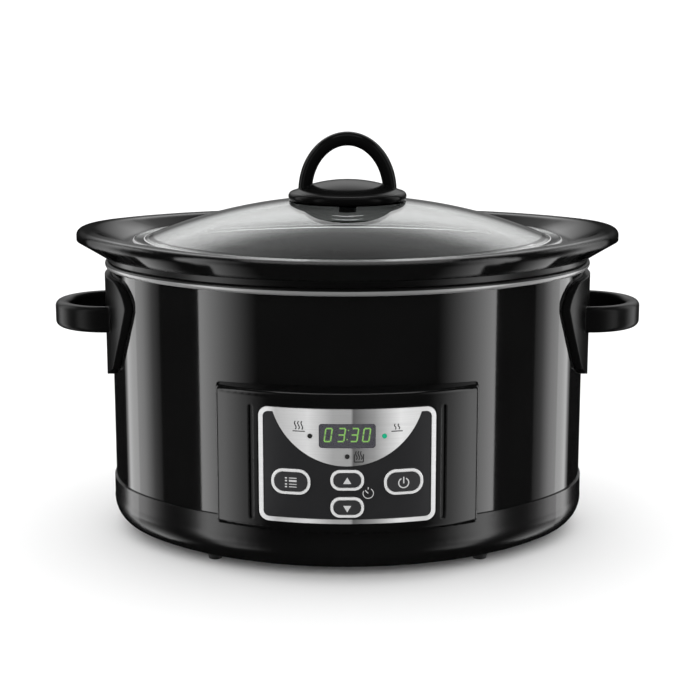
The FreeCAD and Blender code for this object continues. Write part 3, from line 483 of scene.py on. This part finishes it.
ground_glass = material(
    "ground_glass", grey(0.46), grey(0.54), GRAIN,
    {"Grain Scale": 2600.0, "Bump": 0.1, "Gloss Low": 0.4, "Gloss High": 0.5, "Edge Round": 0.0})


def placed(name, mesh, body):
    """An object for a finished mesh, which rides on a body."""
    piece = bpy.data.objects.new(name, mesh)
    bpy.context.scene.collection.objects.link(piece)
    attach(piece, body)
    return piece


def ground_band(name, lid):
    """The outward surface of a lid between two levels, lifted a little."""
    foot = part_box(lid)[0].z
    form = bmesh.new()
    form.from_mesh(nodes[lid].data)
    bmesh.ops.remove_doubles(form, verts=form.verts, dist=MERGE)
    for height, above in ((foot + EDGE_LOW, True), (foot + EDGE_HIGH, False)):
        whole = form.verts[:] + form.edges[:] + form.faces[:]
        bmesh.ops.bisect_plane(form, geom=whole, plane_co=(0, 0, height), plane_no=(0, 0, 1),
                               clear_inner=above, clear_outer=not above)
    form.normal_update()
    inward = [f for f in form.faces if f.normal.xy.dot(f.calc_center_median().xy) < 0]
    bmesh.ops.delete(form, geom=inward, context="FACES")
    form.normal_update()
    for vert in form.verts:
        vert.co += vert.normal * EDGE_LIFT
    mesh = bpy.data.meshes.new(name)
    form.to_mesh(mesh)
    form.free()
    mesh.shade_smooth()
    mesh.materials.append(ground_glass)
    return mesh


edge = placed("lid_ground_edge", ground_band("lid_ground_edge", "lid_glass"), "lid")
print("ground edge:", len(edge.data.polygons), "faces")

# %% [markdown]
# ## Panel print
# Icons on such a panel are pad printed: a thin film of ink that follows the curved front. A
# painted texture would blur from close by, so each stroke is a small mesh. It is drawn flat in
# millimetres, as a ribbon with some width, and laid on the cylinder of the front. The cylinder's
# radius grows by how far a piece of the panel stands proud of it, and by the thickness of the
# ink.

# %% Strokes of ink on the curved front
PANEL_RADIUS, TRIM_PROUD = 0.155, 0.4
PANEL_AXIS_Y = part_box("fascia_frame")[0].y + PANEL_RADIUS + TRIM_PROUD / 1000
INK_LIFT = 0.00006


def ribbon(points, width):
    """Four-cornered pieces along a line of (x, z) points, in millimetres."""
    half = width / 2
    quads = []
    for (x0, z0), (x1, z1) in zip(points, points[1:]):
        length = math.hypot(x1 - x0, z1 - z0)
        nx, nz = -(z1 - z0) / length * half, (x1 - x0) / length * half
        quads.append([(x0 + nx, z0 + nz), (x0 - nx, z0 - nz),
                      (x1 - nx, z1 - nz), (x1 + nx, z1 + nz)])
    return quads


def printed(name, quads, proud, ink, body):
    """Ink on the panel's curved front, proud of its nominal radius by some millimetres."""
    radius = PANEL_RADIUS + proud / 1000 + INK_LIFT
    verts, faces = [], []
    for quad in quads:
        first = len(verts)
        for x, z in quad:
            x, z = x / 1000, z / 1000
            verts.append((x, PANEL_AXIS_Y - math.sqrt(radius**2 - x**2), z))
        faces.append(list(range(first, first + len(quad))))
    mesh = bpy.data.meshes.new(name)
    mesh.from_pydata(verts, [], faces)
    mesh.materials.append(ink)
    return placed(name, mesh, body)


print("panel axis at y =", round(PANEL_AXIS_Y, 4))

# %% [markdown]
# On the bright crescent the print is dark: steam over a line for the two heat settings, more and
# taller steam for the hotter one, and a small pot for keeping warm. The strokes could be drawn as
# curves, but a sine wave gives steam at once. Places are measured from the lit lamp, and those of
# the hot icon from its mirrored place on the other side.

# %% Heat icons
INK_GRAIN = {"Grain Scale": 3000.0, "Bump": 0.03, "Gloss Low": 0.4, "Gloss High": 0.5}
STEAM_STEPS, STEAM_SWAY, STEAM_WIDTH = 14, 0.5, 0.62
LINE_RISE, LINE_WIDTH, STEAM_RISE = 2.8, 0.6, 3.9
# Each icon: ends of its line, middle of its steam, and the steam's height and spread.
HOT = ((-10.6, -3.1), -6.9, 5.2, (-2.0, 0.0, 2.0))
MILD = ((4.2, 11.1), 7.6, 3.4, (-1.1, 1.1))
POT_DROP, POT_LEFT, POT_RIGHT, POT_WALL, POT_WIDTH = 16.0, 4.3, 9.9, 4.9, 0.65
POT_STEAM_X, POT_STEAM_RISE, POT_STEAM_HEIGHT, POT_SPREAD = 7.1, 1.4, 5.4, (-1.5, 0.0, 1.5)

dark_ink = material("dark_ink", grey(0.01), grey(0.02), GRAIN, INK_GRAIN)


def middle(name):
    """Middle of a piece, seen from the front, in millimetres."""
    low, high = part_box(name)
    return (low.x + high.x) * 500, (low.z + high.z) * 500


def steam(x, z, height, spread):
    """Wavy strokes of steam, side by side."""
    strokes = []
    rises = [i / STEAM_STEPS for i in range(STEAM_STEPS + 1)]
    for dx in spread:
        wave = [(x + dx + STEAM_SWAY * math.sin(2 * math.pi * t), z + height * t) for t in rises]
        strokes += ribbon(wave, STEAM_WIDTH)
    return strokes


def heat_icon(x, z, ends, steam_x, height, spread):
    """Steam over a line, measured from a lamp."""
    line = ribbon([(x + dx, z + LINE_RISE) for dx in ends], LINE_WIDTH)
    return steam(x + steam_x, z + STEAM_RISE, height, spread) + line


lamp_x, lamp_z = middle("low_led")
pot_z = lamp_z - POT_DROP
hot = heat_icon(-lamp_x, lamp_z, *HOT)
mild = heat_icon(lamp_x, lamp_z, *MILD)
pot = ribbon([(POT_LEFT, pot_z + POT_WALL), (POT_LEFT, pot_z), (POT_RIGHT, pot_z),
              (POT_RIGHT, pot_z + POT_WALL)], POT_WIDTH)
pot += steam(POT_STEAM_X, pot_z + POT_STEAM_RISE, POT_STEAM_HEIGHT, POT_SPREAD)
for name, quads in (("print_high", hot), ("print_low", mild), ("print_warm", pot)):
    printed(name, quads, TRIM_PROUD, dark_ink, "housing")
print("strokes:", len(hot), len(mild), len(pot))

# %% [markdown]
# The keys carry pale print: a list for choosing the setting, arrows for the time, and a broken
# ring with a bar for power. They could be one mesh for the whole panel, but each print rides on
# its own key, so that it moves when the key is pressed.

# %% Key icons
KEY_PROUD = 1.2
LIST_ROWS = ((2.5, 0.6), (0.7, 1.2), (-1.4, 0.5), (-3.1, 0.5))  # rise and width of each line
LIST_DOT, LIST_LINE, DOT_WIDTH = (-3.6, -2.3), (-1.1, 3.6), 0.9
RING_RADIUS, RING_DROP, RING_ARC, RING_WIDTH = 3.1, 0.5, (118, 422), 0.75
BAR_FOOT, BAR_TOP = -0.9, 3.3
ARROW_HALF, ARROW_UP, ARROW_DOWN = 2.5, (-2.1, 2.1), (1.3, -2.9)  # half width, then foot and tip

white_ink = material("white_ink", grey(0.42), grey(0.52), GRAIN, INK_GRAIN)


def arc_points(x, z, radius, start, end, count=36):
    """Points of an arc between two angles in degrees."""
    angles = [math.radians(start + (end - start) * i / count) for i in range(count + 1)]
    return [(x + radius * math.cos(a), z + radius * math.sin(a)) for a in angles]


def list_icon(x, z):
    quads = []
    for rise, width in LIST_ROWS:
        quads += ribbon([(x + dx, z + rise) for dx in LIST_DOT], DOT_WIDTH)
        quads += ribbon([(x + dx, z + rise) for dx in LIST_LINE], width)
    return quads


def power_icon(x, z):
    ring = ribbon(arc_points(x, z - RING_DROP, RING_RADIUS, *RING_ARC), RING_WIDTH)
    return ring + ribbon([(x, z + BAR_FOOT), (x, z + BAR_TOP)], RING_WIDTH)


def arrow_up(x, z):
    foot, tip = ARROW_UP
    return [[(x - ARROW_HALF, z + foot), (x + ARROW_HALF, z + foot), (x, z + tip)]]


def arrow_down(x, z):
    foot, tip = ARROW_DOWN
    return [[(x - ARROW_HALF, z + foot), (x, z + tip), (x + ARROW_HALF, z + foot)]]


KEY_ICONS = {"select": list_icon, "power": power_icon, "up": arrow_up, "down": arrow_down}
for label, icon in KEY_ICONS.items():
    key = label + "_button"
    printed("print_" + label, icon(*middle(key)), KEY_PROUD, white_ink, key)
print("prints on", len(KEY_ICONS), "keys")

# %% [markdown]
# A small clock on the plate, between the two arrows, says that they set the time: a ring with a
# gap, a hand and a stem. The plate lies deeper than the keys, so this print stays apart from
# theirs and rides on the housing.

# %% Clock
PLATE_PROUD = -0.4
CLOCK_X, CLOCK_RADIUS, CLOCK_ARC, CLOCK_WIDTH = 12.9, 3.2, (150, 418), 0.5
HAND_REACH, HAND_WIDTH = 2.0, 0.6
STEM_FOOT, STEM_TOP, STEM_WIDTH = 2.5, 3.9, 0.55

clock_z = (middle("up_button")[1] + middle("down_button")[1]) / 2
clock = ribbon(arc_points(CLOCK_X, clock_z, CLOCK_RADIUS, *CLOCK_ARC), CLOCK_WIDTH)
clock += ribbon([(CLOCK_X, clock_z), (CLOCK_X - HAND_REACH, clock_z + HAND_REACH)], HAND_WIDTH)
clock += ribbon([(CLOCK_X, clock_z + STEM_FOOT), (CLOCK_X, clock_z + STEM_TOP)], STEM_WIDTH)
printed("print_clock", clock, PLATE_PROUD, white_ink, "housing")
print("clock of", len(clock), "strokes")

# %% [markdown]
# ## The display
# A digit is seven bars of the same shape, of which some are lit. The digits could be letters of a
# font, but such displays have their own plain bars. Each lit bar is a place with a turn: level or
# upright. A small slant makes the digits lean as they do on such displays.

# %% Lit places
DIGITS = {"0": "abcdef", "3": "abcdg"}
DIGIT_WIDTH, DIGIT_HEIGHT, LEAN = 4.8, 9.3, 0.14
INSET_X, INSET_Z = 0.9, 1.1
BARS = {"a": (0, 0.5, 0), "b": (0.5, 0.25, 1), "c": (0.5, -0.25, 1), "d": (0, -0.5, 0),
        "e": (-0.5, -0.25, 1), "f": (-0.5, 0.25, 1), "g": (0, 0, 0)}  # share of x and z, upright
CENTRES = (("0", -11.6), ("3", -3.5), ("3", 4.5), ("0", 11.8))
COLON_X, COLON_RISE = 0.4, 2.9

lit, turns = [], []
for digit, centre in CENTRES:
    for bar in DIGITS[digit]:
        share_x, share_z, upright = BARS[bar]
        z = share_z * (DIGIT_HEIGHT - INSET_Z)
        lit.append((centre + share_x * (DIGIT_WIDTH - INSET_X) + LEAN * z, z))
        turns.append(float(upright))
colon = [(COLON_X + LEAN * z, z) for z in (COLON_RISE, -COLON_RISE)]
print("bars lit:", len(lit), "of", len(BARS) * len(CENTRES), "and a colon of", len(colon), "dots")

# %% [markdown]
# Geometry Nodes puts one bar at every lit place. The bars could be modelled one by one, but a
# tree with the bar's width and length as inputs makes all of them, and the colon's dots are bars
# cut short. The turn comes from an attribute of the point.

# %% Bar by Geometry Nodes
BAR_WIDTH, BAR_LENGTH, BAR_DEPTH = 0.0009, 0.0036, 0.0001

lit_bar = material(
    "lit_bar", (0.25, 0.75, 0.1), (0.4, 0.9, 0.2), GRAIN,
    {"Cloud Scale": 500.0, "Bump": 0.0, "Gloss Low": 0.4, "Gloss High": 0.5},
    Emission_Color=(0.4, 0.95, 0.1, 1), Emission_Strength=1.5)


def bar_group():
    """A tree that puts a turned bar at every point."""
    tree = bpy.data.node_groups.new("digit_bars", "GeometryNodeTree")
    tree.interface.new_socket("Places", in_out="INPUT", socket_type="NodeSocketGeometry")
    for label, default in (("Bar Width", BAR_WIDTH), ("Bar Length", BAR_LENGTH)):
        tree.interface.new_socket(label, in_out="INPUT", socket_type=VALUE).default_value = default
    tree.interface.new_socket("Bars", in_out="OUTPUT", socket_type="NodeSocketGeometry")
    start, end = add(tree, "NodeGroupInput"), add(tree, "NodeGroupOutput")
    turn = add(tree, "GeometryNodeInputNamedAttribute", data_type="FLOAT", Name="turn")
    angle = add(tree, "ShaderNodeMath", operation="MULTIPLY")
    angle.inputs[1].default_value = LEAN - math.pi / 2
    spin = add(tree, "ShaderNodeCombineXYZ")
    size = add(tree, "ShaderNodeCombineXYZ", Y=BAR_DEPTH)
    bar = add(tree, "GeometryNodeMeshCube")
    place = add(tree, "GeometryNodeInstanceOnPoints")
    real = add(tree, "GeometryNodeRealizeInstances")
    paint = add(tree, "GeometryNodeSetMaterial", Material=lit_bar)
    wire(tree,
         (start, "Places", place, "Points"),
         (start, "Bar Width", size, "Z"), (start, "Bar Length", size, "X"),
         (size, "Vector", bar, "Size"), (bar, "Mesh", place, "Instance"),
         (turn, "Attribute", angle, 0), (angle, "Value", spin, "Y"),
         (spin, "Vector", place, "Rotation"), (place, "Instances", real, "Geometry"),
         (real, "Geometry", paint, "Geometry"), (paint, "Geometry", end, "Bars"))
    return tree


bar_tree = bar_group()
print("group", bar_tree.name, "nodes", len(bar_tree.nodes))

# %% [markdown]
# The bars lie just in front of the display block, behind the smoked window. The tree runs on a
# mesh of loose points, and its result is made real and kept as a plain mesh, because only a plain
# mesh can ride on a body.

# %% Lit bars and colon
DOT_SIZE, BAR_GAP = 0.0007, 0.00005
FRONT_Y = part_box("display_module")[0].y - BAR_GAP
display_x, display_z = middle("display_window")


def grown(name, places, turns, inputs, body):
    """Runs the bar tree on places of the display and keeps the result as a plain mesh."""
    verts = [((display_x + x) / 1000, FRONT_Y, (display_z + z) / 1000) for x, z in places]
    seeds = bpy.data.meshes.new(name + "_places")
    seeds.from_pydata(verts, [], [])
    seeds.attributes.new("turn", "FLOAT", "POINT").data.foreach_set("value", turns)
    source = bpy.data.objects.new(name + "_places", seeds)
    bpy.context.scene.collection.objects.link(source)
    grow = source.modifiers.new("grow", "NODES")
    grow.node_group = bar_tree
    for item in bar_tree.interface.items_tree:
        if item.in_out == "INPUT" and item.name in inputs:
            grow[item.identifier] = inputs[item.name]
    bpy.context.view_layer.update()
    ready = source.evaluated_get(bpy.context.evaluated_depsgraph_get())
    mesh = bpy.data.meshes.new_from_object(ready)
    mesh.name = name
    bpy.data.objects.remove(source)
    return placed(name, mesh, body)


bars = grown("display_bars", lit, turns, {"Bar Width": BAR_WIDTH}, "housing")
dots = grown("display_colon", colon, [0.0] * len(colon),
             {"Bar Width": DOT_SIZE, "Bar Length": DOT_SIZE}, "housing")
print("display faces:", len(bars.data.polygons), "and", len(dots.data.polygons))

# %% [markdown]
# ## The studio
# A black shiny object is lit by what it mirrors, so a photographer sets up white cards and
# watches their reflections. Lamps would only give small bright spots. Here a card is a glowing
# plane that is seen in mirrors alone. It can fade from one edge to the other, as a card does when
# its lamp stands close to one side, or follow a profile of light and dark.

# %% Card maker
FADE_POWER = 1.5


def card_light(name, strength, fade, profile):
    """Light that is even, grows along a fade, or follows a profile of (place, value) stops."""
    glow = bpy.data.materials.new(name)
    glow.use_nodes = True
    tree = glow.node_tree
    tree.nodes.clear()
    out = add(tree, "ShaderNodeOutputMaterial")
    light = add(tree, "ShaderNodeEmission", Strength=strength)
    wire(tree, (light, "Emission", out, "Surface"))
    at, output = place_on(tree, "UV"), "Y"
    if fade:
        along = map_range(tree, gives=(0.0, 1.0) if fade > 0 else (1.0, 0.0))
        wire(tree, (at, "X", along, "Value"))
        at, output = along, "Result"
    if profile:
        level = add(tree, "ShaderNodeValToRGB")
        set_stops(level, profile)
        wire(tree, (at, output, level, "Fac"), (level, "Color", light, "Color"))
    elif fade:
        level = add(tree, "ShaderNodeMath", operation="POWER")
        level.inputs[1].default_value = FADE_POWER
        wire(tree, (at, output, level, 0), (level, "Value", light, "Color"))
    return glow


def card(name, centre, toward, width, height, strength, fade=0, profile=None):
    """A glowing card, seen in mirrors only. A fade of 1 makes it brighter towards its right edge,
    as seen from the cooker, and -1 towards its left. A profile runs along the fade, or from foot to
    top where there is none."""
    bpy.ops.mesh.primitive_plane_add(size=1)
    piece = bpy.context.object
    piece.name = name
    piece.scale = (width, height, 1)
    piece.location = centre
    piece.rotation_euler = (Vector(toward) - Vector(centre)).to_track_quat("Z", "Y").to_euler()
    piece.data.materials.append(card_light(name, strength, fade, profile))
    piece.visible_camera = False
    piece.visible_diffuse = False
    piece.visible_transmission = False
    piece.visible_shadow = False
    return piece


print("card maker ready")

# %% [markdown]
# Tall cards stand at both sides, a pair beside the cooker and a pair further to the front, and
# give the upright streaks on the wall. Even cards would give hard-edged stripes, so each is
# bright near one edge and fades towards the other. The parts below are apart from those above,
# because they show only in the tucked-under base and have a light of their own.

# %% Side and front cards
CARD_DISTANCE = 1.5
SIDE_BEARING, SIDE_WIDTH = 74.5, 0.95
FRONT_BEARING, FRONT_WIDTH = 128.1, 0.75
SIDE_PROFILE = ((0.0, 0.15), (0.14, 0.55), (0.4, 2.5), (0.82, 3.1), (0.93, 0.8), (1.0, 0.4))
FLANKS = (  # part, bearing, width, middle, height, strength, profile
    ("side_high", SIDE_BEARING, SIDE_WIDTH, 0.52, 2.15, 1.0, SIDE_PROFILE),
    ("side_low", SIDE_BEARING, SIDE_WIDTH, -1.08, 1.05, 2.2, None),
    ("front_high", FRONT_BEARING, FRONT_WIDTH, 0.425, 2.35, 4.0, None),
    ("front_low", FRONT_BEARING, FRONT_WIDTH, -1.175, 0.85, 2.2, None),
)


def at_bearing(degrees, distance, z):
    """A place round the cooker: bearing from straight behind, positive towards the right."""
    angle = math.radians(degrees)
    return (distance * math.sin(angle), distance * math.cos(angle), z)


for side, label in ((-1, "left"), (1, "right")):
    for part, bearing, width, z, height, strength, profile in FLANKS:
        card(f"card_{part}_{label}", at_bearing(side * bearing, CARD_DISTANCE, z), (0, 0, z),
             width, height, strength, -side, profile)
print("flank cards:", 2 * len(FLANKS))

# %% [markdown]
# A card behind brightens the glass lid. Its foot is dark, so that the wings of the pot, which
# mirror it, stay dark towards their tips, and it fades towards the top. The inner face of the
# glass mirrors it as well, and Blender counts those rays as passing through glass, so this card
# is open to them. A card overhead draws the thin lines along the rims.

# %% Back and top cards
BACK_PROFILE = ((0.0, 0.15), (0.1, 0.15), (0.16, 0.7), (0.29, 1.75), (0.38, 1.7), (0.52, 0.57),
                (1.0, 0.22))
BACK_DISTANCE, BACK_WIDTH, BACK_HEIGHT, BACK_STRENGTH = 2.0, 4.6, 4.5, 1.0
TOP_PLACE, TOP_WIDTH, TOP_DEPTH, TOP_STRENGTH = (0, -0.1, 1.6), 1.2, 0.5, 3.0

back_z = BACK_HEIGHT / 2
back = card("card_back", (0, BACK_DISTANCE, back_z), (0, 0, back_z), BACK_WIDTH, BACK_HEIGHT,
            BACK_STRENGTH, profile=BACK_PROFILE)
back.visible_transmission = True
card("card_top", TOP_PLACE, (0, 0, 0), TOP_WIDTH, TOP_DEPTH, TOP_STRENGTH)

# %% [markdown]
# The floor is pale and plain and keeps the soft shadow. Mirrored rays pass it, because the dark
# wall would otherwise show a white floor where a studio has black flags. The floor could be
# hidden from glossy rays as an object; a Light Path node does the same and keeps the rule with
# the finish.

# %% Floor
FLOOR_SIZE = 14
FLOOR_DARK, FLOOR_LIGHT = 0.88, 0.92


def floor_material():
    made = bpy.data.materials.new("pale_floor")
    made.use_nodes = True
    tree = made.node_tree
    shader = tree.nodes["Principled BSDF"]
    shader.inputs["Roughness"].default_value = 0.8
    shader.inputs["Specular IOR Level"].default_value = 0.1
    cloud = add(tree, "ShaderNodeTexNoise", Scale=3.0)
    tone = map_range(tree, gives=(FLOOR_DARK, FLOOR_LIGHT))
    path = add(tree, "ShaderNodeLightPath")
    clear = add(tree, "ShaderNodeBsdfTransparent")
    mix = add(tree, "ShaderNodeMixShader")
    wire(tree,
         (cloud, "Fac", tone, "Value"), (tone, "Result", shader, "Base Color"),
         (path, "Is Glossy Ray", mix, "Fac"), (shader, "BSDF", mix, 1), (clear, "BSDF", mix, 2),
         (mix, "Shader", tree.nodes["Material Output"], "Surface"))
    return made


bpy.ops.mesh.primitive_plane_add(size=FLOOR_SIZE)
floor = bpy.context.object
floor.name = "floor"
floor.data.materials.append(floor_material())
print("floor", tuple(round(v, 2) for v in floor.dimensions))

# %% [markdown]
# The surroundings are white to the eye and to the diffuse light, and nearly dark in mirrors,
# where only the cards should show. A room round the cooker could do the same, but the world's own
# background needs no walls, and a Light Path node tells the rays apart.

# %% Surroundings
WHITE_ROUND, DARK_IN_MIRRORS = 1.42, 0.009

world = bpy.data.worlds.new("studio")
world.use_nodes = True
bpy.context.scene.world = world
sky = world.node_tree
background = sky.nodes["Background"]
background.inputs["Color"].default_value = (1, 1, 1, 1)
path = add(sky, "ShaderNodeLightPath")
dim = map_range(sky, gives=(WHITE_ROUND, DARK_IN_MIRRORS))
wire(sky, (path, "Is Glossy Ray", dim, "Value"), (dim, "Result", background, "Strength"))
print("surroundings:", world.name)

# %% [markdown]
# ## Camera
# The picture was taken a little above the rim, from a good metre away. Its angle was found from
# the ovals of the rim, the ring and the base. From further off, with a longer lens, these would
# differ less from each other, so the distance counts as well as the lens.

# %% Camera
CAMERA_PLACE, CAMERA_TILT = (0.0017, -1.15, 0.3588), 11.706
CAMERA_LENS, CAMERA_SENSOR = 88.1, 36.0

eye = bpy.data.cameras.new("eye")
eye.sensor_width = CAMERA_SENSOR
eye.lens = CAMERA_LENS
camera = bpy.data.objects.new("eye", eye)
camera.location = CAMERA_PLACE
camera.rotation_euler = (math.radians(90 - CAMERA_TILT), 0, 0)
bpy.context.scene.collection.objects.link(camera)
bpy.context.scene.camera = camera
bpy.context.scene.view_settings.view_transform = "Standard"
print("camera height", camera.location.z, "lens", eye.lens)
